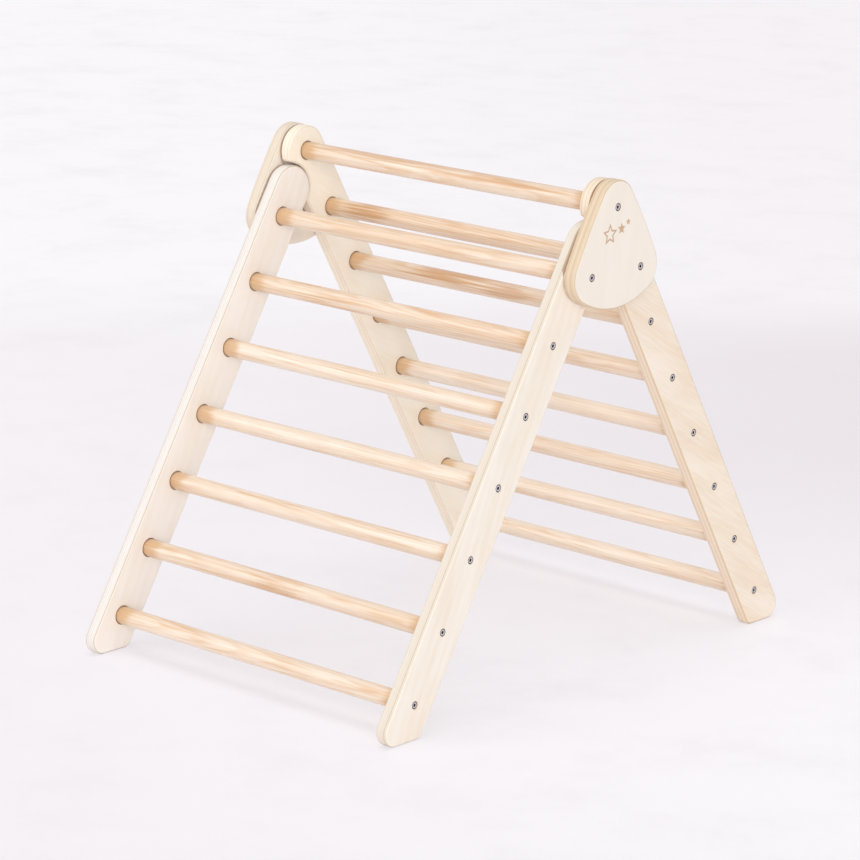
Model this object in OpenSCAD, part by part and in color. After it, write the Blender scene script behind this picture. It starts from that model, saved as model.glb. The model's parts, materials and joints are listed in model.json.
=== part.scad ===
// Folding climbing triangle: two rung ladders of birch ply and round dowels, joined at the top
// by a pair of apex plates. The back ladder is bolted to the plates at its two top rungs. The
// front ladder swings on its own top rung, and its rounded rail ends rest in hooked notches of
// the back rails when the triangle stands open.
// X runs along the rungs, Y from the front ladder to the back one, Z up from the floor.

/* [Ladders] */
// Rungs in the back ladder, counting the top one
back_rungs = 8; // [5:1:10]
// Distance from rung to rung, and from each apex bolt to the next
rung_pitch = 100; // [96:1:115]
// Diameter of the rungs
rung_d = 25; // [20:0.5:28]
// Clear width between the rails
inner_w = 524; // [300:1:800]
// Height of the lowest rung's axis over the floor
lowest_rung_h = 49.5; // [42:0.5:80]
// Lean of each ladder from upright
leg_tilt = 30.75; // [28:0.25:32]

/* [Rails] */
// Width of the rails
rail_w = 70; // [60:1:74]
// Thickness of the rails
rail_t = 18; // [15:0.5:24]
// Radius of the foot's outer corner
toe_r = 20; // [8:1:26]
// Radius of the foot's inner corner
heel_r = 14; // [4:1:20]
// How far the notch bites into a back rail's round top, towards the top rung
notch_bite = 11.2; // [8:0.4:14]
// Radius of the lip over the notch
lip_r = 6; // [3:0.5:9]
// Depth of the blind socket that takes each rung end
socket_depth = 6; // [4:0.5:8]

/* [Apex plates] */
// Thickness of the plates
plate_t = 18; // [15:0.5:24]
// Radius of the plates' corners about the bolts
plate_r = 36; // [30:0.5:42]
// Rise of the plates' long sides over a straight line
side_rise = 1.5; // [0.5:0.1:6]
// Space between a plate and the rails
plate_gap = 2; // [1:0.1:4]
// Diameter of the washers in that space
washer_d = 20; // [14:0.5:26]

/* [Fasteners] */
// Diameter of the bolts
bolt_d = 6; // [5:0.5:8]
// Diameter of the bolt heads
head_d = 10; // [9:0.5:13]
// Height of the bolt heads
head_h = 5.5; // [4:0.5:7]
// Width across the flats of the hex socket in a head
hex_w = 5; // [3:0.5:6]
// Depth of the hex socket
hex_depth = 3; // [1.5:0.5:3.5]
// How far a head lies below the wood's face
head_sunk = 0.5; // [0.2:0.1:1.2]
// How far a bolt reaches into its rung
bolt_reach = 24; // [18:1:32]
// Outside diameter of the threaded inserts in the rung ends
insert_d = 10; // [9:0.5:12]
// Length of the threaded inserts
insert_len = 15; // [10:1:20]

/* [Clearances] */
// Between a rung and the wall of its socket
socket_gap = 0.5; // [0.2:0.05:0.8]
// Between a front rail's round end and the notch, where it swings
notch_gap = 1.6; // [0.8:0.1:2.4]
// Between a front rail's round end and the side of the notch that stops it
stop_gap = 0.3; // [0.2:0.05:0.5]
// Between a bolt's shank and its hole in a rail or plate
hole_gap = 0.3; // [0.15:0.05:0.6]
// Between a pivot bolt and its running hole in the plate
pivot_gap = 0.08; // [0.05:0.01:0.15]
// Between a bolt's head and its counterbore
head_gap = 0.5; // [0.2:0.1:1]
// Between pieces that seat on each other
seat_gap = 0.05; // [0.02:0.01:0.1]

/* [Hidden] */
$fn = 96;

// The front ladder has one rung fewer, so the lowest rungs lie nearly level
front_rungs = back_rungs - 1;
rail_half = rail_w / 2;

// Stations along X, from the middle outwards
rail_in = inner_w / 2;
rail_out = rail_in + rail_t;
rung_end = rail_in + socket_depth;
plate_in = rail_out + plate_gap;
plate_out = plate_in + plate_t;
bolt_tip = rung_end - bolt_reach;

// How far a cutting shape runs on past the face that it cuts
over = 1;

// Directions in the side view, as [Y, Z]: down each ladder, and out of its climbing side
function leg_down(lean) = [lean * sin(leg_tilt), -cos(leg_tilt)];
function leg_outer(lean) = [lean * cos(leg_tilt), sin(leg_tilt)];
BACK = 1;
FRONT = -1;

// The three apex bolts are the corners of an equal-sided triangle
apex_angle = 60;
top_h = lowest_rung_h + (back_rungs - 1) * rung_pitch * cos(leg_tilt);
pivot_from_top = rung_pitch * [-sin(apex_angle - leg_tilt), -cos(apex_angle - leg_tilt)];

// Half angles of the foot's two corners, and how far their rounding reaches along the edges
toe_half = (90 - leg_tilt) / 2;
heel_half = (90 + leg_tilt) / 2;
toe_reach = toe_r / tan(toe_half);
heel_reach = heel_r / tan(heel_half);

// The furthest point of a foot from its ladder's line through a given point, across the floor
function toe_corner(p, lean) =
    p + rail_half * leg_outer(lean)
    + (p[1] + rail_half * sin(leg_tilt)) / cos(leg_tilt) * leg_down(lean);
function heel_corner(p, lean) =
    p - rail_half * leg_outer(lean)
    + (p[1] - rail_half * sin(leg_tilt)) / cos(leg_tilt) * leg_down(lean);
function foot_extent(p, lean) = toe_corner(p, lean)[0] - lean * (toe_reach - toe_r);

// The origin lies on the floor, midway between the outermost points of the feet
back_extent = foot_extent([0, top_h], BACK);
front_extent = foot_extent([0, top_h] + pivot_from_top, FRONT);
apex = [-(back_extent + front_extent) / 2, top_h];
pivot = apex + pivot_from_top;

function back_rung(k) = apex + (k - 1) * rung_pitch * leg_down(BACK);
function front_rung(k) = pivot + (k - 1) * rung_pitch * leg_down(FRONT);

// The notch is a round seat for the front rail's end, set off its centre so that only the side
// that stops the ladder is close, and from there the arc that the end needs free as it swings
swing_r = rung_pitch + notch_bite - rail_half;
seat_r = rail_half + notch_gap;
seat_offset = notch_gap - stop_gap;
nose = sqrt((swing_r - seat_r) ^ 2 - seat_offset ^ 2);
nose_centre = pivot - nose * leg_down(FRONT);
seat_centre = nose_centre + seat_offset * leg_outer(FRONT);
swing_start = atan2(seat_centre[1] - pivot[1], seat_centre[0] - pivot[0]);

// Centre of the lip's rounding: inside the back rail's round top, outside the swing
lip_from_apex = rail_half - lip_r;
lip_from_pivot = swing_r + lip_r;
lip_along = (lip_from_apex ^ 2 - lip_from_pivot ^ 2 + rung_pitch ^ 2) / (2 * rung_pitch);
lip_aside = sqrt(lip_from_apex ^ 2 - lip_along ^ 2);
to_pivot = (pivot - apex) / rung_pitch;
lip_centre = apex + lip_along * to_pivot + lip_aside * [to_pivot[1], -to_pivot[0]];

// Screw hardware
tip_room = 1;
counterbore_depth = head_sunk + head_h + seat_gap;

function rung_names(ladder, last) = [for (k = [2:last]) str(ladder, "_rung_", k)];

RIGHT = 1;
LEFT = -1;

// Puts a piece that is drawn for the right-hand side on either side
module on_side(side) {
    if (side == RIGHT) children();
    else mirror([1, 0, 0]) children();
}

// A side-view shape made into a board whose inner face stands at x
module board(x, thickness) {
    translate([x, 0, 0]) rotate([90, 0, 90]) linear_extrude(thickness) children();
}

// A round bar or hole along X through a point of the side view
module bar(at, x1, x2, d) {
    translate([x1, at[0], at[1]]) rotate([0, 90, 0]) cylinder(d = d, h = x2 - x1);
}

// A rail in the side view: round top about a point, straight down, foot cut flat on the floor
module leg_outline(top, lean) {
    toe = toe_corner(top, lean);
    heel = heel_corner(top, lean);
    down = leg_down(lean);
    edge = rail_half * leg_outer(lean);
    toe_floor = [toe[0] - lean * toe_reach, 0];
    heel_floor = [heel[0] + lean * heel_reach, 0];
    translate(top) circle(rail_half);
    polygon([top + edge, toe - toe_reach * down, toe_floor,
             heel_floor, heel - heel_reach * down, top - edge]);
    translate(toe_floor + [0, toe_r]) circle(toe_r);
    translate(heel_floor + [0, heel_r]) circle(heel_r);
}

// What the front rail's end needs free in the back rail: its seat, and its way out of it
module notch_outline() {
    translate(seat_centre) circle(seat_r);
    intersection() {
        translate(pivot) circle(swing_r);
        translate(pivot) rotate(swing_start) square(2 * swing_r);
    }
}

// The sharp tip that the notch leaves on the back rail, as a wedge from the lip's centre.
// Its reach takes in the whole tip.
module lip_tip() {
    reach = 3 * lip_r;
    to_edge = reach * (lip_centre - apex) / lip_from_apex;
    to_notch = reach * (pivot - lip_centre) / lip_from_pivot;
    translate(lip_centre) polygon([[0, 0], to_edge, to_edge + to_notch, to_notch]);
}

// One side of a plate: an arc that runs smoothly into the round corners about two bolts.
// swing is the arc's radius less the corners' radius. The sector that it is cut to runs on
// past the arc by a share of that.
module plate_side(a, b, swing) {
    middle = (a + b) / 2;
    along = (b - a) / norm(b - a);
    inwards = [-along[1], along[0]];
    centre = middle + sqrt(swing ^ 2 - (norm(b - a) / 2) ^ 2) * inwards;
    past = 2 * plate_r / swing;
    intersection() {
        translate(centre) circle(swing + plate_r, $fn = 360);
        polygon([a, a + past * (a - centre), b + past * (b - centre), b]);
    }
}

module plate_outline() {
    second = back_rung(2);
    side_swing = ((rung_pitch / 2) ^ 2 + side_rise ^ 2) / (2 * side_rise);
    polygon([apex, pivot, second]);
    for (bolt = [apex, pivot, second]) translate(bolt) circle(plate_r);
    plate_side(apex, pivot, side_swing);
    plate_side(pivot, second, rung_pitch);
    plate_side(second, apex, side_swing);
}

// Blind socket for a rung end, and the bolt's hole on out of the rail
module rung_seat(at) {
    bar(at, rail_in - over, rung_end, rung_d + 2 * socket_gap);
    bar(at, rung_end - over, rail_out + over, bolt_d + 2 * hole_gap);
}

// Counterbore for a bolt's head, sunk from a face that stands at x
module head_seat(at, x) {
    bar(at, x - counterbore_depth, x + over, head_d + 2 * head_gap);
}

module back_rail(side) {
    color([0.96, 0.92, 0.85]) on_side(side) difference() {
        union() {
            difference() {
                board(rail_in, rail_t) leg_outline(apex, BACK);
                board(rail_in - over, rail_t + 2 * over) notch_outline();
                board(rail_in - over, rail_t + 2 * over) lip_tip();
            }
            bar(lip_centre, rail_in, rail_out, 2 * lip_r);
        }
        for (k = [1:back_rungs]) rung_seat(back_rung(k));
        for (k = [3:back_rungs]) head_seat(back_rung(k), rail_out);
    }
}

module front_rail(side) {
    color([0.96, 0.92, 0.85]) on_side(side) difference() {
        board(rail_in, rail_t) leg_outline(nose_centre, FRONT);
        for (k = [1:front_rungs]) rung_seat(front_rung(k));
        for (k = [2:front_rungs]) head_seat(front_rung(k), rail_out);
    }
}

module apex_plate(side) {
    color([0.97, 0.93, 0.87]) on_side(side) difference() {
        board(plate_in, plate_t) plate_outline();
        for (k = [1:2]) bar(back_rung(k), plate_in - over, plate_out, bolt_d + 2 * hole_gap);
        bar(pivot, plate_in - over, plate_out, bolt_d + 2 * pivot_gap);
        for (bolt = [apex, back_rung(2), pivot]) head_seat(bolt, plate_out);
    }
}

// A dowel with a pocket for a threaded insert, and room for the bolt's tip, in each end
module rung(at) {
    reach = rung_end - seat_gap;
    color([0.93, 0.78, 0.58]) difference() {
        bar(at, -reach, reach, rung_d);
        for (side = [LEFT, RIGHT]) on_side(side) {
            bar(at, reach - insert_len - seat_gap, reach + over, insert_d + 2 * seat_gap);
            bar(at, bolt_tip - tip_room, reach, bolt_d + 2 * hole_gap);
        }
    }
}

module insert(at, side) {
    outer_end = rung_end - seat_gap;
    inner_end = outer_end - insert_len;
    color([0.72, 0.70, 0.62]) on_side(side) difference() {
        bar(at, inner_end, outer_end, insert_d);
        bar(at, inner_end - over, outer_end + over, bolt_d + 2 * seat_gap);
    }
}

// A cap-head bolt with a hex socket, put in from a face that stands at x
module bolt(at, x, side) {
    head_top = x - head_sunk;
    color([0.66, 0.68, 0.73]) on_side(side) difference() {
        union() {
            bar(at, head_top - head_h, head_top, head_d);
            bar(at, bolt_tip, head_top - head_h, bolt_d);
        }
        translate([head_top - hex_depth, at[0], at[1]])
            rotate([0, 90, 0])
                cylinder(d = hex_w / cos(30), h = hex_depth + over, $fn = 6);
    }
}

module washer(at, side) {
    color([0.45, 0.46, 0.48]) on_side(side) difference() {
        bar(at, rail_out + seat_gap, plate_in - seat_gap, washer_d);
        bar(at, rail_out - over, plate_in + over, bolt_d + 2 * hole_gap);
    }
}

// Bolts that hold a ladder's rungs below the plates
module rail_bolts_back(side) {
    for (k = [3:back_rungs]) bolt(back_rung(k), rail_out, side);
}

module rail_bolts_front(side) {
    for (k = [2:front_rungs]) bolt(front_rung(k), rail_out, side);
}

module plate_bolts(side) {
    for (k = [1:2]) bolt(back_rung(k), plate_out, side);
}

module plate_washers(side) {
    for (k = [1:2]) washer(back_rung(k), side);
}

module inserts_back(side) {
    for (k = [1:back_rungs]) insert(back_rung(k), side);
}

module inserts_front(side) {
    for (k = [1:front_rungs]) insert(front_rung(k), side);
}

// Back ladder and apex plates
back_rail(LEFT);  // back_rail_left
back_rail(RIGHT);  // back_rail_right
apex_plate(LEFT);  // apex_plate_left
apex_plate(RIGHT);  // apex_plate_right
rung(back_rung(1));  // top_rung
for (k = [2:back_rungs])
    rung(back_rung(k));
rail_bolts_back(LEFT);  // rail_bolts_back_left
rail_bolts_back(RIGHT);  // rail_bolts_back_right
plate_bolts(LEFT);  // plate_bolts_left
plate_bolts(RIGHT);  // plate_bolts_right
plate_washers(LEFT);  // plate_washers_left
plate_washers(RIGHT);  // plate_washers_right
inserts_back(LEFT);  // inserts_back_left
inserts_back(RIGHT);  // inserts_back_right

// Front ladder
front_rail(LEFT);  // front_rail_left
front_rail(RIGHT);  // front_rail_right
rung(front_rung(1));  // pivot_rung
for (k = [2:front_rungs])
    rung(front_rung(k));
rail_bolts_front(LEFT);  // rail_bolts_front_left
rail_bolts_front(RIGHT);  // rail_bolts_front_right
bolt(pivot, plate_out, LEFT);  // pivot_bolt_left
bolt(pivot, plate_out, RIGHT);  // pivot_bolt_right
washer(pivot, LEFT);  // pivot_washer_left
washer(pivot, RIGHT);  // pivot_washer_right
inserts_front(LEFT);  // inserts_front_left
inserts_front(RIGHT);  // inserts_front_right
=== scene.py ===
import json
import math

import bmesh
import bpy
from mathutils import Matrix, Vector


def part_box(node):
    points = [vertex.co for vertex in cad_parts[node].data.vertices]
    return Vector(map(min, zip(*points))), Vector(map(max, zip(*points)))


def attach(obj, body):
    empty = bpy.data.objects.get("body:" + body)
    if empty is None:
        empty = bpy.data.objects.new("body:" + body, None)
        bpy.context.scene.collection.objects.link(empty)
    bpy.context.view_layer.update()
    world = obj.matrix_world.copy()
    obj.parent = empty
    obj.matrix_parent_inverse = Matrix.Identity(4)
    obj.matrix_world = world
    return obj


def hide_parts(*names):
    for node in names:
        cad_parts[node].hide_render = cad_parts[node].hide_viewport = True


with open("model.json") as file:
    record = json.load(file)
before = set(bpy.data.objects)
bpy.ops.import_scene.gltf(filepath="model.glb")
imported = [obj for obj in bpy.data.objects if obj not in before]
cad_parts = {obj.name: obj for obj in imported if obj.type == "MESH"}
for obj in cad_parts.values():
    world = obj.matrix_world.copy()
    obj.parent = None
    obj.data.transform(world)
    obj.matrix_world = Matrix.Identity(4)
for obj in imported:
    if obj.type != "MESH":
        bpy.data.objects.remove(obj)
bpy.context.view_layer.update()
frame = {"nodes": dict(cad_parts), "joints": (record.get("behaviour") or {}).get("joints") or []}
nodes = frame["nodes"]
scene = bpy.context.scene
scene.view_settings.view_transform = "Standard"

photoView = {
    "place": (3.2742, -3.6829, 1.5649),
    "turn": (75.5450, -1.0585, 42.1081),  # degrees
    "lens": 154.51,  # mm
    "sensor": 36,  # mm
    "farthest": 100,  # metres
}


def addCamera(view):
    data = bpy.data.cameras.new("photoCamera")
    data.lens = view["lens"]
    data.sensor_width = view["sensor"]
    data.clip_end = view["farthest"]
    camera = bpy.data.objects.new("photoCamera", data)
    camera.location = view["place"]
    camera.rotation_euler = [math.radians(angle) for angle in view["turn"]]
    scene.collection.objects.link(camera)
    scene.camera = camera


addCamera(photoView)
print("camera set")


class Wire:
    # a node's output that can be used in sums, for shader and geometry trees alike
    def __init__(self, tree, socket):
        self.tree = tree
        self.socket = socket

    def __getitem__(self, output):
        return Wire(self.tree, self.socket.node.outputs[output])

    def maths(self, operation, *others):
        return mathNode(self.tree, operation, self, *others)

    def __add__(self, other):
        return self.maths("ADD", other)

    def __sub__(self, other):
        return self.maths("SUBTRACT", other)

    def __rsub__(self, other):
        return mathNode(self.tree, "SUBTRACT", other, self)

    def __mul__(self, other):
        return self.maths("MULTIPLY", other)

    def __truediv__(self, other):
        return self.maths("DIVIDE", other)

    def __mod__(self, other):
        return self.maths("FLOORED_MODULO", other)

    def __pow__(self, other):
        return self.maths("POWER", other)

    def __abs__(self):
        return self.maths("ABSOLUTE")

    def __gt__(self, other):
        return self.maths("GREATER_THAN", other)

    def __lt__(self, other):
        return self.maths("LESS_THAN", other)

    __radd__ = __add__
    __rmul__ = __mul__


def setStops(ramp, stops):
    # flat steps of grey, each from its own place on
    ramp.interpolation = "CONSTANT"
    for i, (position, grey) in enumerate(stops):
        stop = ramp.elements[i] if i < 2 else ramp.elements.new(1)
        stop.position = position
        stop.color = (grey, grey, grey, 1)


def makeNode(tree, kind, settings=None, inputs=None, output=0):
    # a list among the inputs holds several wires that go into one socket
    node = tree.nodes.new(kind)
    for key, value in (settings or {}).items():
        if key == "stops":
            setStops(node.color_ramp, value)
        else:
            setattr(node, key, value)
    for key, value in (inputs or {}).items():
        for given in value if isinstance(value, list) else [value]:
            if isinstance(given, Wire):
                tree.links.new(given.socket, node.inputs[key])
            else:
                node.inputs[key].default_value = given
    return Wire(tree, node.outputs[output]) if len(node.outputs) else None


def mathNode(tree, operation, *values):
    return makeNode(tree, "ShaderNodeMath", {"operation": operation}, dict(enumerate(values)))


def vectorNode(tree, operation, first, second, output="Vector"):
    return makeNode(tree, "ShaderNodeVectorMath", {"operation": operation},
                    {0: first, 1: second}, output)


def splitVector(tree, vector):
    return makeNode(tree, "ShaderNodeSeparateXYZ", None, {"Vector": vector})


def blend(tree, share, first, second):
    # a Mix node has its two colours at sockets 6 and 7, and gives a colour at output 2
    return makeNode(tree, "ShaderNodeMix", {"data_type": "RGBA"},
                    {0: share, 6: first, 7: second}, output=2)


def ease(tree, value, low, high):
    return makeNode(tree, "ShaderNodeMapRange", {"interpolation_type": "SMOOTHSTEP"},
                    {"Value": value, "From Min": low, "From Max": high})


def noise(tree, place, scale, detail=2.0, roughness=0.5):
    return makeNode(tree, "ShaderNodeTexNoise", None, {
        "Vector": vectorNode(tree, "MULTIPLY", place, scale), "Scale": 1.0,
        "Detail": detail, "Roughness": roughness})


def colour(red, green, blue):
    # a colour as it is read off a screen, 0 to 255, in the linear values that sockets take
    def linear(value):
        share = value / 255
        return share / 12.92 if share < 0.04045 else ((share + 0.055) / 1.055) ** 2.4
    return (linear(red), linear(green), linear(blue), 1)


def darker(tone, share):
    return (*(channel * share for channel in tone[:3]), 1)


def newMaterial(name):
    material = bpy.data.materials.new(name)
    material.use_nodes = True
    material.node_tree.nodes.clear()
    return material, material.node_tree


def finishMaterial(tree, height, distance, inputs):
    # height gives the fine relief, distance its depth in metres
    bump = makeNode(tree, "ShaderNodeBump", None, {"Height": height, "Distance": distance})
    shader = makeNode(tree, "ShaderNodeBsdfPrincipled", None, dict(inputs, Normal=bump))
    makeNode(tree, "ShaderNodeOutputMaterial", None, {"Surface": shader})


rungPitch = 0.1
lean = math.radians(30.75)
ladders = {
    # first: the middle of the first rung; cover: the run under a plate, down from there
    "back": {"first": (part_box("top_rung")[0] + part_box("top_rung")[1]) / 2, "lean": lean,
             "cover": (0, rungPitch)},
    "front": {"first": Vector(frame["joints"][0]["pos_m"]), "lean": -lean},
}
for ladder in ladders.values():
    ladder["down"] = Vector((0, math.sin(ladder["lean"]), -math.cos(ladder["lean"])))
railHalfWidth = 0.035
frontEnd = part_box("front_rail_right")[1].z - railHalfWidth - ladders["front"]["first"].z
ladders["front"]["cover"] = (-frontEnd / math.cos(lean), 0)

plywood = {
    "plies": 9,  # between the two veneers
    "roughness": 0.46,
    "roughnessSpread": 0.1,
    "shine": 0.4,
    "bump": 0.00008,
    "waveDepth": 4,  # how fast the figure changes through the board
    "patches": (5, 26, 6),
    "fibres": (60, 480, 22),
    "fibreRoughness": 0.6,
    "fibreShare": 0.7,
    "figureFrom": (0.6, 1.25),
    "flecks": (700, 420, 420),  # short end grain on the edges
    "fleckShare": 0.3,
    "plyShare": 0.85,
    "glueLine": (0.42, 0.5),  # from the middle of a ply, in plies, as the next two
    "glueShare": 0.12,
    "firstGlueAt": 0.25,
    "firstGlueLine": (0.15, 0.5),
}

veneers = {
    # grain: the turn of its run off the upright, in degrees; tones: ply by ply from inside;
    # skin: the veneer's thickness; band: width of the gap's shade on a rail's edge
    "frontRail": {
        "grain": 24, "shift": (0, 0, 0), "wander": 0.02, "across": 11, "along": 3,
        "lines": 60, "lineShare": 0.12,
        "face": colour(250, 243, 233), "figure": colour(244, 231, 214),
        "edge": colour(227, 218, 205), "edgeDark": colour(202, 184, 161),
        "tones": (0.1, 0.25, 0.1, 0.3, 0.15, 0.35, 0.2, 1.0, 0.1),
        "skin": 0.0008, "firstGlue": 0.3, "band": 0.006,
    },
    "backRail": {
        "grain": -60, "shift": (0, 0.3, 0.7), "wander": 0.11, "across": 13, "along": 7,
        "lines": 80, "lineShare": 0.05,
        "face": colour(248, 236, 221), "figure": colour(239, 218, 193),
        "edge": colour(238, 221, 202), "edgeDark": colour(212, 188, 158),
        "tones": (0.2, 0.4, 0.75, 0.1, 0.15, 0.6, 0.2, 0.2, 0.8),
        "skin": 0.0002, "firstGlue": 0.3, "band": 0.0022,
    },
    "plate": {
        "grain": 4, "shift": (0, 0.11, 0.31), "wander": 0.02, "across": 11, "along": 3,
        "lines": 40, "lineShare": 0.08,
        "face": colour(246, 237, 226), "figure": colour(243, 233, 220),
        "edge": colour(224, 205, 178), "edgeDark": colour(200, 174, 144),
        "tones": (0.6, 0.8, 0.35, 0.1, 0.4, 0.8, 0.4, 0.25, 0.2),
        "skin": 0.0003, "firstGlue": 0.3,
    },
}
# painted light: the far back rail's finish is a lighter copy of the back rail's, for more light
# on its inner face
veneers["farBackRailPaintedLight"] = dict(veneers["backRail"], face=colour(255, 248, 235),
                              figure=colour(253, 240, 219), edge=colour(246, 235, 219),
                              edgeDark=colour(224, 204, 178), shift=(0, 0.6, 0.2), band=0.0014)
# the far front rail and far plate: paler edges than the near ones, with plies and grain of their
# own
veneers["farFrontRail"] = dict(veneers["frontRail"], face=colour(250, 244, 237),
                               figure=colour(246, 236, 224), edge=colour(233, 230, 226),
                               edgeDark=colour(196, 176, 152), shift=(0, 0.4, 0.2),
                               firstGlue=0.7, skin=0.0005, band=0.0014,
                               tones=(0.1, 0.25, 0.1, 0.3, 0.15, 0.35, 0.2, 0.7, 0.05))
veneers["farPlate"] = dict(veneers["plate"], edge=colour(224, 211, 193),
                           edgeDark=colour(210, 192, 168), shift=(0, 0.5, 0.1),
                           tones=(0.8, 0.3, 0.1, 0.2, 0.1, 0.2, 0.75, 0.3, 0.1))

# painted shade round the rungs' sockets on the rails' inner faces
socketShadeRing = {
    "radius": 0.0130,
    "width": 0.0012,
    "faceDepth": 0.0008,
    "share": 0.95,
    "tone": colour(128, 88, 56),
}

# painted shade in the slots between the plates and the rails
gap = {
    "reach": 0.0358,  # from a rail's middle line to its outline, where the shade ends
    "plateReach": 0.0341,  # the same on the plates
    "rim": 0.0036,  # width of the shade
    "dark": 0.001,
    "faceDepth": 0.0003,
    "share": 0.75,
    "plateShare": 0.55,
    "tone": colour(146, 104, 60),
    "plateTone": colour(172, 130, 88),
}

motif = {
    "centre": (-0.006, 0.6185),  # Y and Z on the plate
    "depth": 0.0004,
    "burnt": colour(208, 176, 144),
    "burntLayer": (0.2, 2),  # in depths
    "reach": 0.045,
    "stars": [
        # Y, Z, radius, width of the groove; no width: the whole star is sunk
        (-0.0165, 0.6165, 0.0150, 0.0022),
        (0.0070, 0.6215, 0.0080, 0),
        (0.0205, 0.6290, 0.0048, 0),
    ],
    "points": 5,
    "waist": 0.48,
}


def alongRail(tree, place, ladder):
    # how far down a rail from its ladder's first rung, and how far from its middle line
    down = ladder["down"]
    aside = Vector((0, down.z, -down.y))
    return [vectorNode(tree, "DOT_PRODUCT", place, axis, "Value") - ladder["first"].dot(axis)
            for axis in (down, aside)]


def socketShade(tree, place, out, inner, ladder, surface):
    # painted shade: a thin dark ring round each rung, where the dowel enters its socket
    run, off = alongRail(tree, place, ladder)
    steps = run / rungPitch + 0.5
    beyond = (steps - steps.maths("FLOOR") - 0.5) * rungPitch
    reach = (beyond * beyond + off * off) ** 0.5
    ring = 1 - ease(tree, abs(reach - socketShadeRing["radius"]), 0, socketShadeRing["width"])
    onFace = out < inner + socketShadeRing["faceDepth"]
    return blend(tree, ring * onFace * socketShadeRing["share"], surface, socketShadeRing["tone"])


def coveredRim(tree, place, ladder, reach):
    # 1 close inside a rail's outline, along the stretch that a plate covers
    run, off = alongRail(tree, place, ladder)
    start, stop = ladder["cover"]
    before = (run - start).maths("MINIMUM", 0)
    beyond = (run - stop).maths("MAXIMUM", 0)
    fromLine = before * before + off * off
    covered = (fromLine + beyond * beyond) ** 0.5 < reach
    return covered * (fromLine ** 0.5 > reach - gap["rim"])


def railGapShade(tree, place, out, outer, band, ladder, surface):
    # painted shade: darkens the rails' outer corners under the plates' borders
    outside = ease(tree, out, outer - band, outer - gap["dark"])
    share = outside * coveredRim(tree, place, ladder, gap["reach"]) * gap["share"]
    return blend(tree, share, surface, gap["tone"])


def plateGapShade(tree, place, out, inner, surface):
    # painted shade: darkens the plates' inner faces next to the rails' outlines
    onFace = out < inner + gap["faceDepth"]
    for ladder in ladders.values():
        rim = coveredRim(tree, place, ladder, gap["plateReach"])
        surface = blend(tree, onFace * rim * gap["plateShare"], surface, gap["plateTone"])
    return surface


def burntStars(tree, place, out, outer, surface):
    # the engraving's floor lies below the face, so its depth alone marks it
    shallow, deep = (outer - motif["depth"] * share for share in motif["burntLayer"])
    onPlate = vectorNode(tree, "MULTIPLY", place, (0, 1, 1))
    reach = vectorNode(tree, "DISTANCE", onPlate, (0, *motif["centre"]), "Value")
    sunk = (out < shallow) * (out > deep)
    return blend(tree, sunk * (reach < motif["reach"]), surface, motif["burnt"])


def plywoodFinish(name, node, look, ladder):
    # a rail belongs to a ladder, a plate to none
    material, tree = newMaterial(name)
    place = makeNode(tree, "ShaderNodeTexCoord", output="Object")
    turned = makeNode(tree, "ShaderNodeMapping", None, {
        "Vector": place, "Location": look["shift"],
        "Rotation": (math.radians(look["grain"]), 0, 0)})
    out = abs(splitVector(tree, place)["X"])
    inner, outer = sorted(abs(corner.x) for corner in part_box(node))

    # the plies, counted from the board's inner face
    plies = plywood["plies"]
    height = (out - inner - look["skin"]) / (outer - inner - 2 * look["skin"]) * plies
    ply = height.maths("FLOOR")
    stops = [(i / plies, grey) for i, grey in enumerate(look["tones"])]
    tone = makeNode(tree, "ShaderNodeValToRGB", {"stops": stops},
                    {"Fac": (ply + 0.5) / plies}, output="Color")

    # the face veneer: a broad wavy figure with fine short fibres over it
    waves = noise(tree, turned, (plywood["waveDepth"], look["across"], look["along"]))
    line = (splitVector(tree, turned)["Y"] + waves * look["wander"]) * (
        look["lines"] * 2 * math.pi)
    contour = line.maths("SINE") * 0.5 + 0.5
    patches = noise(tree, turned, plywood["patches"], 3.0)
    fibre = noise(tree, turned, plywood["fibres"], roughness=plywood["fibreRoughness"])
    share = contour * look["lineShare"] + patches + fibre * plywood["fibreShare"]
    veneer = blend(tree, ease(tree, share, *plywood["figureFrom"]), look["face"],
                   look["figure"])

    # the edge: pale and dark plies, glue lines between them, short flecks of end grain
    flecks = noise(tree, place, plywood["flecks"])
    fromFace = abs(abs(height - plies / 2) - (plies / 2 - plywood["firstGlueAt"]))
    firstGlue = (1 - ease(tree, fromFace, *plywood["firstGlueLine"])) * look["firstGlue"]
    glueLine = ease(tree, abs(height - ply - 0.5), *plywood["glueLine"])
    depth = (tone * plywood["plyShare"] + (flecks - 0.5) * plywood["fleckShare"]
             + (glueLine * plywood["glueShare"] + firstGlue))
    edge = blend(tree, depth, look["edge"], look["edgeDark"])
    surface = blend(tree, (height < 0) + (height > plies), edge, veneer)

    if ladder:
        surface = socketShade(tree, place, out, inner, ladder, surface)
        surface = railGapShade(tree, place, out, outer, look["band"], ladder, surface)
    else:
        surface = plateGapShade(tree, place, out, inner, surface)
        surface = burntStars(tree, place, out, outer, surface)
    finishMaterial(tree, fibre, plywood["bump"], {
        "Base Color": surface, "Specular IOR Level": plywood["shine"],
        "Roughness": plywood["roughness"] + plywood["roughnessSpread"] * fibre})
    return material


board = {
    "arris": 0.0035,  # radius of the rounded edges
    "plateInnerArris": 0.001,
    "arrisSteps": 6,
    "leastStep": 0.0003,
    "sharpAngle": 30,  # degrees
    "samePlace": 1e-6,
}


def addPiece(name, mesh, body, replaced):
    piece = bpy.data.objects.new(name, mesh)
    scene.collection.objects.link(piece)
    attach(piece, body)
    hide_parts(*replaced)


def plainMesh(draft):
    # what an object's modifiers make of it, as a mesh of its own
    mesh = bpy.data.meshes.new_from_object(
        draft.evaluated_get(bpy.context.evaluated_depsgraph_get()))
    bpy.data.objects.remove(draft)
    return mesh


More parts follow.
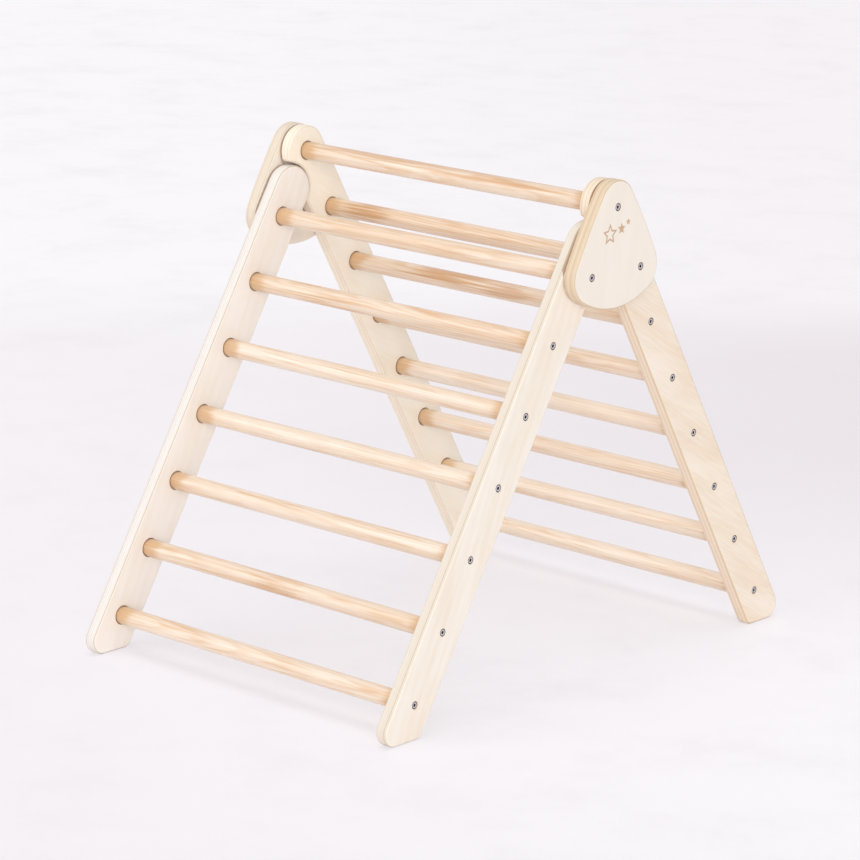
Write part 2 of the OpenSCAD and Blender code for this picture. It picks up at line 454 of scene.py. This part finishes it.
def chainLoops(edges):
    # closed loops of vertices from loose edges
    ahead = {}
    for edge in edges:
        for vert in edge.verts:
            ahead.setdefault(vert, []).append(edge)
    loops, used = [], set()
    for edge in edges:
        if edge in used:
            continue
        used.add(edge)
        loop = [edge.verts[0], edge.verts[1]]
        while loop[-1] is not loop[0]:
            onward = next(e for e in ahead[loop[-1]] if e not in used)
            used.add(onward)
            loop.append(onward.other_vert(loop[-1]))
        loops.append(loop[:-1])
    return loops


def spanOf(loop):
    return max(v.co.y for v in loop) - min(v.co.y for v in loop)


def insetOutline(outline, distance):
    # every corner of the closed outline moved inwards by the same distance from both its sides
    count = len(outline)
    area = sum(outline[i - 1].x * outline[i].y - outline[i].x * outline[i - 1].y
               for i in range(count))
    side = 1 if area > 0 else -1
    moved = []
    for i, corner in enumerate(outline):
        before = (corner - outline[i - 1]).normalized()
        after = (outline[(i + 1) % count] - corner).normalized()
        inBefore = Vector((-before.y, before.x)) * side
        inAfter = Vector((-after.y, after.x)) * side
        moved.append(corner + (inBefore + inAfter) * distance / (1 + inBefore.dot(inAfter)))
    return moved


def starOutline(y, z, radius):
    points = []
    for i in range(2 * motif["points"]):
        angle = math.radians(90 + i * 180 / motif["points"])
        reach = radius if i % 2 == 0 else radius * motif["waist"]
        points.append(Vector((y + reach * math.cos(angle), z + reach * math.sin(angle))))
    return points


def addRing(shape, x, outline):
    return [shape.verts.new((x, point.x, point.y)) for point in outline]


def bridge(shape, first, second):
    count = len(first)
    for i in range(count):
        j = (i + 1) % count
        shape.faces.new((first[i], first[j], second[j], second[i]))


def ringEdges(shape, ring):
    edges = []
    for i, vert in enumerate(ring):
        other = ring[(i + 1) % len(ring)]
        edges.append(shape.edges.get((vert, other)) or shape.edges.new((vert, other)))
    return edges


def sinkStar(shape, x, floorX, star):
    # a star cut down to floorX; the edges that it leaves in the face at x come back
    y, z, radius, groove = star
    points = starOutline(y, z, radius)
    mouth, floor = addRing(shape, x, points), addRing(shape, floorX, points)
    bridge(shape, mouth, floor)
    edges = ringEdges(shape, mouth)
    if groove:
        points = insetOutline(points, groove)
        bank, foot = addRing(shape, x, points), addRing(shape, floorX, points)
        bridge(shape, floor, foot)
        bridge(shape, foot, bank)
        shape.faces.new(bank)
    else:
        shape.faces.new(floor)
    return edges


def roundedBoard(node, stars, innerArris):
    # the CAD board with its outline's edges rounded over; its holes stay as they are
    shape = bmesh.new()
    shape.from_mesh(nodes[node].data)
    bmesh.ops.remove_doubles(shape, verts=shape.verts, dist=board["samePlace"])
    low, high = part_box(node)

    rims, caps = {}, {}
    for x in (low.x, high.x):
        caps[x] = [face for face in shape.faces
                   if all(abs(vert.co.x - x) < board["samePlace"] for vert in face.verts)]
        flat = set(caps[x])
        border = [edge for face in caps[x] for edge in face.edges
                  if sum(other in flat for other in edge.link_faces) == 1]
        rims[x] = sorted(chainLoops(border), key=spanOf)
    outerLow, outerHigh = rims[low.x].pop(), rims[high.x].pop()
    outline = []
    for vert in outerLow:
        point = Vector((vert.co.y, vert.co.z))
        if not outline or (point - outline[-1]).length > board["leastStep"]:
            outline.append(point)
    if (outline[0] - outline[-1]).length < board["leastStep"]:
        outline.pop()

    outer, flat = set(outerLow + outerHigh), set(caps[low.x] + caps[high.x])
    gone = [face for face in shape.faces
            if face in flat or all(vert in outer for vert in face.verts)]
    bmesh.ops.delete(shape, geom=gone, context="FACES_ONLY")
    bmesh.ops.delete(shape, geom=outerLow + outerHigh, context="VERTS")

    def arrisRings(x, radius):
        rings = []
        for step in range(board["arrisSteps"] + 1):
            angle = math.radians(90) * step / board["arrisSteps"]
            inset, rise = radius * (1 - math.sin(angle)), radius * (1 - math.cos(angle))
            points = insetOutline(outline, inset)
            rings.append(addRing(shape, x + (rise if x == low.x else -rise), points))
        return rings

    right = high.x > 0
    lowRings = arrisRings(low.x, innerArris if right else board["arris"])
    highRings = arrisRings(high.x, board["arris"] if right else innerArris)
    chain = lowRings + highRings[::-1]
    for first, second in zip(chain, chain[1:]):
        bridge(shape, first, second)

    outside = high.x if right else low.x
    floorX = outside + (-1 if right else 1) * motif["depth"]
    for x, ring in ((low.x, lowRings[0]), (high.x, highRings[0])):
        edges = ringEdges(shape, ring)
        for rim in rims[x]:
            edges += ringEdges(shape, rim)
        if x == outside:
            for star in stars:
                edges += sinkStar(shape, x, floorX, star)
        bmesh.ops.triangle_fill(shape, use_beauty=True, edges=edges)
    bmesh.ops.delete(shape, geom=[v for v in shape.verts if not v.link_faces], context="VERTS")
    return shape


def keepMesh(name, shape):
    # the shape as a mesh: normals outwards, smooth but for its sharp edges
    bmesh.ops.recalc_face_normals(shape, faces=shape.faces)
    for face in shape.faces:
        face.smooth = True
    for edge in shape.edges:
        if len(edge.link_faces) == 2:
            edge.smooth = edge.calc_face_angle() < math.radians(board["sharpAngle"])
    mesh = bpy.data.meshes.new(name)
    shape.to_mesh(mesh)
    shape.free()
    return mesh


def makeBoard(name, node, body, finish, stars, innerArris):
    mesh = keepMesh(name, roundedBoard(node, stars, innerArris))
    mesh.materials.append(finish)
    draft = bpy.data.objects.new(name + "Draft", mesh)
    scene.collection.objects.link(draft)
    weighted = draft.modifiers.new("evenNormals", "WEIGHTED_NORMAL")
    weighted.keep_sharp = True
    finished = plainMesh(draft)
    finished.name = name
    addPiece(name, finished, body, [node])


boards = [
    # piece, CAD node, body, material, veneer, ladder
    ("frontRailLeft", "front_rail_left", "front_frame", "birchFarFrontRail", "farFrontRail",
     "front"),
    ("backRailLeft", "back_rail_left", "back_frame", "birchFarBackRailPaintedLight", "farBackRailPaintedLight", "back"),
    ("apexPlateLeft", "apex_plate_left", "back_frame", "birchFarPlate", "farPlate", None),
    ("frontRailRight", "front_rail_right", "front_frame", "birchFrontRail", "frontRail",
     "front"),
    ("backRailRight", "back_rail_right", "back_frame", "birchBackRail", "backRail", "back"),
    ("apexPlateRight", "apex_plate_right", "back_frame", "birchPlate", "plate", None),
]
for name, node, body, label, veneer, side in boards:
    stars = [] if side else motif["stars"]
    innerArris = board["arris"] if side else board["plateInnerArris"]
    finish = plywoodFinish(label, node, veneers[veneer], ladders.get(side))
    makeBoard(name, node, body, finish, stars, innerArris)
print("rails and plates made")

dowelWood = {
    "pale": colour(234, 218, 200),
    "late": colour(211, 168, 121),
    "dark": colour(196, 145, 93),
    "heart": colour(213, 163, 114),  # broad warm patches
    "noises": {
        # stretch along the dowel and across it, detail, roughness
        "sway": (5, 20, 2.0, 0.5),
        "streak": (5, 130, 3.0, 0.6),
        "fine": (9, 320, 2.0, 0.5),
        "fibre": (24, 800, 2.0, 0.5),
        "broad": (7, 60, 2.0, 0.5),
        "patch": (8, 45, 3.0, 0.5),
    },
    "shares": {"streak": 0.45, "fine": 0.55, "broad": 0.5, "fibre": 0.15},
    "lateShare": 0.18,
    "toneShare": 0.24,
    "lateFrom": (0.6, 1.5),
    "fineFrom": (0.58, 0.72),
    "fineShare": 0.4,
    "streakFrom": (0.6, 0.8),
    "streakShare": 0.7,
    "patchFrom": (0.54, 0.68),
    "patchShare": (0.08, 0.55),  # least, and more by the rung's own tone
    "moved": (9, 31),  # how far apart the tones set the rungs' patterns
    "rings": 300,  # for each metre of radius
    "ringRise": (0.25, 0.85),
    "ringFall": (0.9, 1.0),
    "ringSway": 0.008,
    "pith": 0.03,  # metres from the dowel's middle
    "turns": 40,
    "askewTurns": 1.7,
    "slope": 0.05,
    "heartwood": [
        # ladder, rungs down, X and height on the rung, half its length, share
        # the first darkens the top rung along its upper side, its whole length; the others are
        # patches of deeper wood
        ("back", 0, 0.000, 0.013, 0.300, 0.55),
        ("back", 1, -0.185, 0.002, 0.060, 0.85),
        ("back", 2, -0.075, 0.008, 0.090, 0.80),
        ("back", 2, 0.030, 0.000, 0.060, 0.55),
        ("front", 1, -0.100, 0.000, 0.090, 0.40),
        ("front", 5, -0.020, -0.004, 0.070, 0.45),
    ],
    "markAcross": 55,
    "markRagged": (1.6, 0.8),  # by the streaks and by the fine grain
    "markEdge": (0.0, 0.5),
    "atRail": colour(208, 165, 116),  # painted shade: a deeper tone at the rungs' ends by the sockets, where the rails keep light off
    "atRailFrom": (0.228, 0.246),
    "atRailRagged": (0.03, 0.02),
    "atRailShare": (0.6, 0.4),
    "roughness": 0.3,
    "roughnessSpread": 0.08,
    "shine": 0.75,
    "lacquer": 0.45,
    "lacquerRoughness": 0.25,
    "bump": 0.00006,
}


def dowelFinish(look):
    material, tree = newMaterial("pineDowel")
    place = makeNode(tree, "ShaderNodeAttribute", {"attribute_name": "dowelPlace"},
                     output="Vector")
    tone = makeNode(tree, "ShaderNodeAttribute", {"attribute_name": "dowelTone"},
                    output="Fac")
    parts = splitVector(tree, place)
    alongMove, acrossMove = look["moved"]
    own = makeNode(tree, "ShaderNodeCombineXYZ", None, {
        "X": tone * alongMove, "Y": tone * acrossMove})
    moved = vectorNode(tree, "ADD", place, own)
    grain = {name: noise(tree, moved, (along, across, across), detail, roughness)
             for name, (along, across, detail, roughness) in look["noises"].items()}
    streak, fine, patch = grain["streak"], grain["fine"], grain["patch"]

    # growth rings about a pith outside the dowel, which runs a little askew to it
    turn = tone * look["turns"]
    askew = (turn * look["askewTurns"]).maths("SINE") * look["slope"]
    ringY = parts["Y"] + turn.maths("SINE") * look["pith"] + parts["X"] * askew
    ringZ = parts["Z"] + turn.maths("COSINE") * look["pith"]
    radius = (ringY * ringY + ringZ * ringZ) ** 0.5 + grain["sway"] * look["ringSway"]
    ring = radius * look["rings"] % 1
    late = ease(tree, ring, *look["ringRise"]) - ease(tree, ring, *look["ringFall"])

    share = late * look["lateShare"]
    for name, weight in look["shares"].items():
        share = share + grain[name] * weight
    share = share + (tone - 0.5) * look["toneShare"]
    surface = blend(tree, ease(tree, share, *look["lateFrom"]), look["pale"], look["late"])
    surface = blend(tree, ease(tree, fine, *look["fineFrom"]) * look["fineShare"], surface,
                    look["late"])
    surface = blend(tree, ease(tree, streak, *look["streakFrom"]) * look["streakShare"],
                    surface, look["dark"])
    least, more = look["patchShare"]
    warm = ease(tree, patch, *look["patchFrom"]) * (tone * more + least)
    surface = blend(tree, warm, surface, look["heart"])

    spot = makeNode(tree, "ShaderNodeTexCoord", output="Object")
    byStreak, byFine = look["markRagged"]
    for side, steps, x, rise, half, strength in look["heartwood"]:
        middle = ladders[side]["first"] + ladders[side]["down"] * steps * rungPitch
        away = vectorNode(tree, "SUBTRACT", spot, (x, middle.y, middle.z + rise))
        shrunk = vectorNode(tree, "MULTIPLY", away,
                            (1 / half, look["markAcross"], look["markAcross"]))
        reach = makeNode(tree, "ShaderNodeVectorMath", {"operation": "LENGTH"}, {0: shrunk},
                         output="Value")
        mark = ease(tree, 1 - reach + (streak - 0.5) * byStreak + (fine - 0.5) * byFine,
                    *look["markEdge"])
        surface = blend(tree, mark * strength, surface, look["dark"])

    # painted shade on the rungs' ends by the rails, with a ragged edge
    byPatch, byFine = look["atRailRagged"]
    ragged = (patch - 0.5) * byPatch + (fine - 0.5) * byFine
    least, more = look["atRailShare"]
    endShade = ease(tree, abs(parts["X"]) + ragged, *look["atRailFrom"]) * (least + fine * more)
    surface = blend(tree, endShade, surface, look["atRail"])
    finishMaterial(tree, grain["fibre"], look["bump"], {
        "Base Color": surface, "Specular IOR Level": look["shine"],
        "Coat Weight": look["lacquer"], "Coat Roughness": look["lacquerRoughness"],
        "Roughness": look["roughness"] + look["roughnessSpread"] * grain["fibre"]})
    return material


def turnedMesh(name, profile, segments, ringShape=None):
    # a closed shape turned about X from (x, radius) pairs; ringShape can bend single rings
    shape = bmesh.new()
    rings = []
    for i, (x, radius) in enumerate(profile):
        if radius == 0:
            rings.append([shape.verts.new((x, 0, 0))])
            continue
        ring = []
        for j in range(segments):
            angle = 2 * math.pi * j / segments
            reach = ringShape(i, radius, angle) if ringShape else radius
            ring.append(shape.verts.new((x, reach * math.cos(angle), reach * math.sin(angle))))
        rings.append(ring)
    for first, second in zip(rings, rings[1:]):
        if len(first) == 1:
            for j in range(segments):
                shape.faces.new((first[0], second[(j + 1) % segments], second[j]))
        elif len(second) == 1:
            for j in range(segments):
                shape.faces.new((first[j], first[(j + 1) % segments], second[0]))
        else:
            bridge(shape, first, second)
    return keepMesh(name, shape)


rowInputs = [("Count", "Int"), ("Pitch", "Float"), ("Lean", "Float"), ("First Y", "Float"),
             ("First Z", "Float"), ("Seed", "Int"), ("Finish", "Material")]
fullTurn = 6.283


def newGroup(name, inputs):
    group = bpy.data.node_groups.new(name, "GeometryNodeTree")
    group.interface.new_socket("Geometry", in_out="INPUT", socket_type="NodeSocketGeometry")
    for label, kind in inputs:
        group.interface.new_socket(label, in_out="INPUT", socket_type="NodeSocket" + kind)
    group.interface.new_socket("Geometry", in_out="OUTPUT", socket_type="NodeSocketGeometry")
    return group, makeNode(group, "NodeGroupInput")


def closeGroup(group, geometry, finish):
    whole = makeNode(group, "GeometryNodeRealizeInstances", None, {"Geometry": geometry})
    painted = makeNode(group, "GeometryNodeSetMaterial", None, {
        "Geometry": whole, "Material": finish})
    makeNode(group, "NodeGroupOutput", None, {"Geometry": painted})
    return group


def ladderLine(group, given, startX):
    # points down a ladder, from its first rung's place
    turn, pitch = given["Lean"], given["Pitch"]
    step = makeNode(group, "ShaderNodeCombineXYZ", None, {
        "Y": turn.maths("SINE") * pitch, "Z": turn.maths("COSINE") * pitch * -1})
    start = makeNode(group, "ShaderNodeCombineXYZ", None, {
        "X": startX, "Y": given["First Y"], "Z": given["First Z"]})
    return makeNode(group, "GeometryNodeMeshLine", {"mode": "OFFSET"}, {
        "Count": given["Count"], "Start Location": start, "Offset": step})


def randomValue(group, high, seed):
    # from 0 up to high: sockets 2 and 3 are the limits of a random number, output 1 gives it
    return makeNode(group, "FunctionNodeRandomValue", {"data_type": "FLOAT"},
                    {2: 0.0, 3: high, "Seed": seed}, output=1)


def rungTree():
    group, given = newGroup("ladderRungs", rowInputs)
    blank = makeNode(group, "GeometryNodeStoreNamedAttribute", {"data_type": "FLOAT_VECTOR"}, {
        "Geometry": given["Geometry"], "Name": "dowelPlace",
        "Value": makeNode(group, "GeometryNodeInputPosition")})
    roll = makeNode(group, "ShaderNodeCombineXYZ", None, {
        "X": randomValue(group, fullTurn, given["Seed"])})
    placed = makeNode(group, "GeometryNodeInstanceOnPoints", None, {
        "Points": ladderLine(group, given, 0.0), "Instance": blank, "Rotation": roll})
    toned = makeNode(group, "GeometryNodeStoreNamedAttribute",
                     {"data_type": "FLOAT", "domain": "INSTANCE"}, {
                         "Geometry": placed, "Name": "dowelTone",
                         "Value": randomValue(group, 1.0, given["Seed"] + 1)})
    return closeGroup(group, toned, given["Finish"])


def boltTree():
    group, given = newGroup("boltRow", rowInputs + [("Head X", "Float")])
    sides = []
    for side, turn in ((1, 0.0), (-1, math.pi)):
        points = ladderLine(group, given, given["Head X"] * side)
        roll = makeNode(group, "ShaderNodeCombineXYZ", None, {
            "X": randomValue(group, fullTurn, given["Seed"] + side), "Z": turn})
        sides.append(makeNode(group, "GeometryNodeInstanceOnPoints", None, {
            "Points": points, "Instance": given["Geometry"], "Rotation": roll}))
    joined = makeNode(group, "GeometryNodeJoinGeometry", None, {"Geometry": sides})
    return closeGroup(group, joined, given["Finish"])


def growPiece(name, blank, group, values, body, replaced):
    # runs a tree on a blank and keeps the result as a plain mesh
    draft = bpy.data.objects.new(name + "Draft", blank)
    modifier = draft.modifiers.new(name, "NODES")
    modifier.node_group = group
    for item in group.interface.items_tree:
        if item.in_out == "INPUT" and item.name in values:
            modifier[item.identifier] = values[item.name]
    scene.collection.objects.link(draft)
    mesh = plainMesh(draft)
    mesh.name = name
    addPiece(name, mesh, body, replaced)


def rowValues(side, skipped, count, seed, finish):
    ladder = ladders[side]
    start = ladder["first"] + ladder["down"] * rungPitch * skipped
    return {"Count": count, "Pitch": rungPitch, "Lean": ladder["lean"],
            "First Y": start.y, "First Z": start.z, "Seed": seed, "Finish": finish}


roundMiddle = 0.3  # how deep the middle of a turned edge lies, as a share of its width
rung = {
    "radius": 0.0125,
    "halfLength": 0.26795,
    "endRound": 0.0008,
    "pocketRadius": 0.00505,
    "pocketDepth": 0.01505,
    "boltRoomRadius": 0.0033,
    "boltRoomFrom": 0.243,
    "segments": 72,
}


def rungProfile(spec):
    end, soft, radius = spec["halfLength"], spec["endRound"], spec["radius"]
    half = [
        (spec["boltRoomFrom"], 0),
        (spec["boltRoomFrom"], spec["boltRoomRadius"]),
        (end - spec["pocketDepth"], spec["boltRoomRadius"]),
        (end - spec["pocketDepth"], spec["pocketRadius"]),
        (end, spec["pocketRadius"]),
        (end, radius - soft),
        (end - soft * roundMiddle, radius - soft * roundMiddle),
        (end - soft, radius),
    ]
    stations = [(end * share, radius) for share in (0.75, 0.5, 0.25, 0)]
    return half + stations + [(-x, r) for x, r in (half + stations[:-1])[::-1]]


dowel = dowelFinish(dowelWood)
rungBlank = turnedMesh("rungBlank", rungProfile(rung), rung["segments"])
rungs = rungTree()
rungRows = [
    # piece, ladder, count, seed, body, replaced nodes
    ("backRungs", "back", 8, 691, "back_frame",
     ["top_rung"] + ["back_rung_%d" % k for k in range(2, 9)]),
    ("frontRungs", "front", 7, 937, "front_frame",
     ["pivot_rung"] + ["front_rung_%d" % k for k in range(2, 8)]),
]
for name, side, count, seed, body, replaced in rungRows:
    growPiece(name, rungBlank, rungs, rowValues(side, 0, count, seed, dowel), body,
              replaced)
print("rungs made")

metal = {
    "grainShade": 0.8,
    # how dark the painted shade on the bolts' rims and sockets is
    "rimShade": 0.12,
    "roughnessSpread": 0.18,
    "bump": 0.00005,
}


def metalFinish(name, base, roughness, speckle):
    material, tree = newMaterial(name)
    place = makeNode(tree, "ShaderNodeTexCoord", output="Object")
    grain = noise(tree, place, (speckle, speckle, speckle), 3.0)
    surface = blend(tree, grain, base, darker(base, metal["grainShade"]))
    # painted shade where the mesh marks it, on the bolts' rims and sockets
    rim = makeNode(tree, "ShaderNodeAttribute", {"attribute_name": "rimShade"}, output="Fac")
    surface = blend(tree, rim, surface, darker(base, metal["rimShade"]))
    finishMaterial(tree, grain, metal["bump"], {
        "Base Color": surface, "Metallic": 1.0,
        "Roughness": roughness + metal["roughnessSpread"] * grain})
    return material


bolt = {
    "headRadius": 0.005,
    "headHeight": 0.0055,
    "shankRadius": 0.003,
    "tipCut": 0.00075,
    "edge": 0.0006,
    "fillet": 0.0003,  # where the shank meets the head
    "burr": 0.0002,
    "rim": 0.0011,  # width of the painted shade round the head
    "rimStep": 0.0001,
    "hexAcross": 0.004,
    "hexDepth": 0.0026,
    "hexLip": 0.0003,
    "hexFlare": 1.22,
    "drillTip": 0.0008,
    "sunk": 0.0005,
    "tip": 0.244,
    "segments": 48,
}


def boltMesh(name, faceX, spec):
    # head top at X 0, pointing to +X; the hex socket's rings are pulled to six sides
    length = faceX - spec["sunk"] - spec["tip"]
    edge, head, shank = spec["edge"], spec["headRadius"], spec["shankRadius"]
    under, burr, flat = -spec["headHeight"], spec["burr"], spec["hexAcross"] / 2
    outside = [
        (-length, 0), (-length, shank - spec["tipCut"]), (-length + spec["tipCut"], shank),
        (under - spec["fillet"], shank), (under, shank + spec["fillet"]),
        (under, head - burr), (under + burr, head),
        (-edge, head), (-edge * roundMiddle, head - edge * roundMiddle), (0, head - edge),
        (0, head - spec["rim"]), (0, head - spec["rim"] - spec["rimStep"]),
        (0, flat * spec["hexFlare"]),
    ]
    inside = [
        (-spec["hexLip"], flat), (-spec["hexDepth"], flat),
        (-spec["hexDepth"] - spec["drillTip"], 0),
    ]

    def hexRing(i, radius, angle):
        if i < len(outside):
            return radius
        within = (angle + math.pi / 6) % (math.pi / 3) - math.pi / 6
        return radius / math.cos(within)
    mesh = turnedMesh(name, outside + inside, spec["segments"], hexRing)

    # painted shade: darkens the head's rim, in the counterbore's gap, and all of the hex socket
    shade = mesh.attributes.new("rimShade", "FLOAT", "POINT")
    for vert, item in zip(mesh.vertices, shade.data):
        inSocket = -spec["hexDepth"] * 1.5 < vert.co.x < -burr
        onRim = math.hypot(vert.co.y, vert.co.z) > head - spec["rim"] * 1.01
        item.value = onRim or inSocket
    return mesh


zinc = metalFinish("zincBolt", colour(232, 227, 231), 0.24, 900)
bolts = boltTree()
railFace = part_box("back_rail_right")[1].x
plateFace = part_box("apex_plate_right")[1].x
shortBolt = boltMesh("shortBolt", railFace, bolt)
longBolt = boltMesh("longBolt", plateFace, bolt)
boltRows = [
    # piece, blank, face, ladder, rungs skipped, count, seed, body, replaced nodes
    ("backRailBolts", shortBolt, railFace, "back", 2, 6, 21, "back_frame", "rail_bolts_back"),
    ("plateBolts", longBolt, plateFace, "back", 0, 2, 31, "back_frame", "plate_bolts"),
    ("frontRailBolts", shortBolt, railFace, "front", 1, 6, 41, "front_frame",
     "rail_bolts_front"),
    ("pivotBolts", longBolt, plateFace, "front", 0, 1, 51, "front_frame", "pivot_bolt"),
]
for name, blank, face, side, skipped, count, seed, body, replaced in boltRows:
    values = rowValues(side, skipped, count, seed, zinc)
    values["Head X"] = face - bolt["sunk"]
    growPiece(name, blank, bolts, values, body,
              [replaced + "_left", replaced + "_right"])
print("bolts made")

smallParts = {
    "washer": metalFinish("zincWasher", colour(176, 178, 184), 0.34, 700),
    "insert": metalFinish("yellowZinc", colour(196, 184, 140), 0.38, 700),
}
for node, shown in nodes.items():
    for kind, finish in smallParts.items():
        if kind in node:
            shown.data.materials.clear()
            shown.data.materials.append(finish)
            for polygon in shown.data.polygons:
                polygon.material_index = 0
print("washers and inserts finished")

studio = {
    "floorColour": colour(246, 242, 246),
    "floorRight": colour(252, 249, 252),
    "farRight": colour(236, 230, 234),
    "wallColour": colour(251, 249, 252),
    "wallRight": colour(248, 244, 248),
    "skyColour": colour(249, 247, 250),
    "wallFrom": (1.95, 2.65),  # metres behind the object, seen from the camera
    "farFrom": (-0.4, 1.2),
    "rightFrom": (-0.7, 0.9),  # metres to its right
    "clouds": (1.6, 1.6, 1.6),
    "cloudShare": 0.5,
    "mottle": (5, 5, 5),
    "mottleFrom": (0.42, 0.8),
    "mottleShare": 0.5,
    "mottleShade": 0.93,
    "floorSize": 60.0,
    "floorDrop": 0.0002,
    "floorRoughness": 0.9,
    "floorShine": 0.2,
    "floorGlow": 0.65,  # share of the floor that the camera sees as lit evenly
    "worldColour": (1.0, 1.0, 1.0, 1),
    "worldStrength": 0.50,
}

suns = [
    # name, degrees round from the front towards +X, degrees up, spread, level on white
    ("overheadLight", 0, 90, 40, 0.30),
    ("frontLight", 5, 15, 40, 0.12),
    ("rightLight", 45, 15, 40, 0.40),
]
sunAway = 4

softBox = {
    "round": -43,  # degrees, as for the suns
    "up": 22,
    "away": 6.0,
    "size": 3.75,
    "aim": (0, 0, 0.35),
    "level": 0.135,
}


def seenRays(tree):
    # 1 where the camera, a mirror or a glass looks, 0 for light on its way to a surface
    rays = makeNode(tree, "ShaderNodeLightPath")
    return rays["Is Camera Ray"] + rays["Is Glossy Ray"] + rays["Is Transmission Ray"] > 0.5


def floorPattern(tree):
    place = makeNode(tree, "ShaderNodeTexCoord", output="Object")
    parts = splitVector(tree, place)
    turn = math.radians(photoView["turn"][2])
    behind = parts["Y"] * math.cos(turn) - parts["X"] * math.sin(turn)
    aside = parts["X"] * math.cos(turn) + parts["Y"] * math.sin(turn)
    cloudy = noise(tree, place, studio["clouds"], 4.0, 0.6)
    far = ease(tree, behind + cloudy * studio["cloudShare"], *studio["wallFrom"])
    toRight = ease(tree, aside, *studio["rightFrom"])
    right = blend(tree, ease(tree, behind, *studio["farFrom"]), studio["floorRight"],
                  studio["farRight"])
    floor = blend(tree, toRight, studio["floorColour"], right)
    wall = blend(tree, toRight, studio["wallColour"], studio["wallRight"])
    mottled = ease(tree, noise(tree, place, studio["mottle"], 6.0, 0.65),
                   *studio["mottleFrom"])
    return blend(tree, mottled * studio["mottleShare"], blend(tree, far, floor, wall),
                 darker(studio["floorColour"], studio["mottleShade"]))


def addFloor():
    half = studio["floorSize"] / 2
    mesh = bpy.data.meshes.new("studioFloor")
    corners = [(-half, -half, 0), (half, -half, 0), (half, half, 0), (-half, half, 0)]
    mesh.from_pydata(corners, [], [(0, 1, 2, 3)])
    material, tree = newMaterial("studioFloor")
    surface = floorPattern(tree)
    lit = makeNode(tree, "ShaderNodeBsdfPrincipled", None, {
        "Base Color": surface, "Roughness": studio["floorRoughness"],
        "Specular IOR Level": studio["floorShine"]})
    glow = makeNode(tree, "ShaderNodeEmission", None, {"Color": surface})
    both = makeNode(tree, "ShaderNodeMixShader", None, {
        0: seenRays(tree) * studio["floorGlow"], 1: lit, 2: glow})
    makeNode(tree, "ShaderNodeOutputMaterial", None, {"Surface": both})
    mesh.materials.append(material)
    floor = bpy.data.objects.new("studioFloor", mesh)
    floor.location.z = -studio["floorDrop"]
    scene.collection.objects.link(floor)


def addWorld():
    # lights the object softly, and shows as a pale backdrop past the floor's end
    world = bpy.data.worlds.new("studioWorld")
    world.use_nodes = True
    tree = world.node_tree
    tree.nodes.clear()
    light = makeNode(tree, "ShaderNodeBackground", None, {
        "Color": studio["worldColour"], "Strength": studio["worldStrength"]})
    backdrop = makeNode(tree, "ShaderNodeBackground", None, {"Color": studio["skyColour"]})
    both = makeNode(tree, "ShaderNodeMixShader", None, {
        0: seenRays(tree), 1: light, 2: backdrop})
    makeNode(tree, "ShaderNodeOutputWorld", None, {"Surface": both})
    scene.world = world


def lightDirection(degreesRound, degreesUp):
    turn, rise = math.radians(degreesRound), math.radians(degreesUp)
    return Vector((math.sin(turn) * math.cos(rise), -math.cos(turn) * math.cos(rise),
                   math.sin(rise)))


def addLamp(data, direction, place):
    lamp = bpy.data.objects.new(data.name, data)
    lamp.location = place
    lamp.rotation_euler = (-direction).to_track_quat("-Z", "Y").to_euler()
    scene.collection.objects.link(lamp)


def addSun(name, degreesRound, degreesUp, spread, level):
    # level: what a white face turned to the sun shows
    data = bpy.data.lights.new(name, "SUN")
    data.angle = math.radians(spread)
    data.energy = math.pi * level
    direction = lightDirection(degreesRound, degreesUp)
    addLamp(data, direction, direction * sunAway)


def addSoftBox(box):
    data = bpy.data.lights.new("leftSoftBox", "AREA")
    data.shape = "DISK"
    data.size = box["size"]
    data.energy = math.pi ** 2 * box["away"] ** 2 * box["level"]
    direction = lightDirection(box["round"], box["up"])
    addLamp(data, direction, Vector(box["aim"]) + direction * box["away"])


addFloor()
for sun in suns:
    addSun(*sun)
addSoftBox(softBox)
addWorld()
print("studio set")
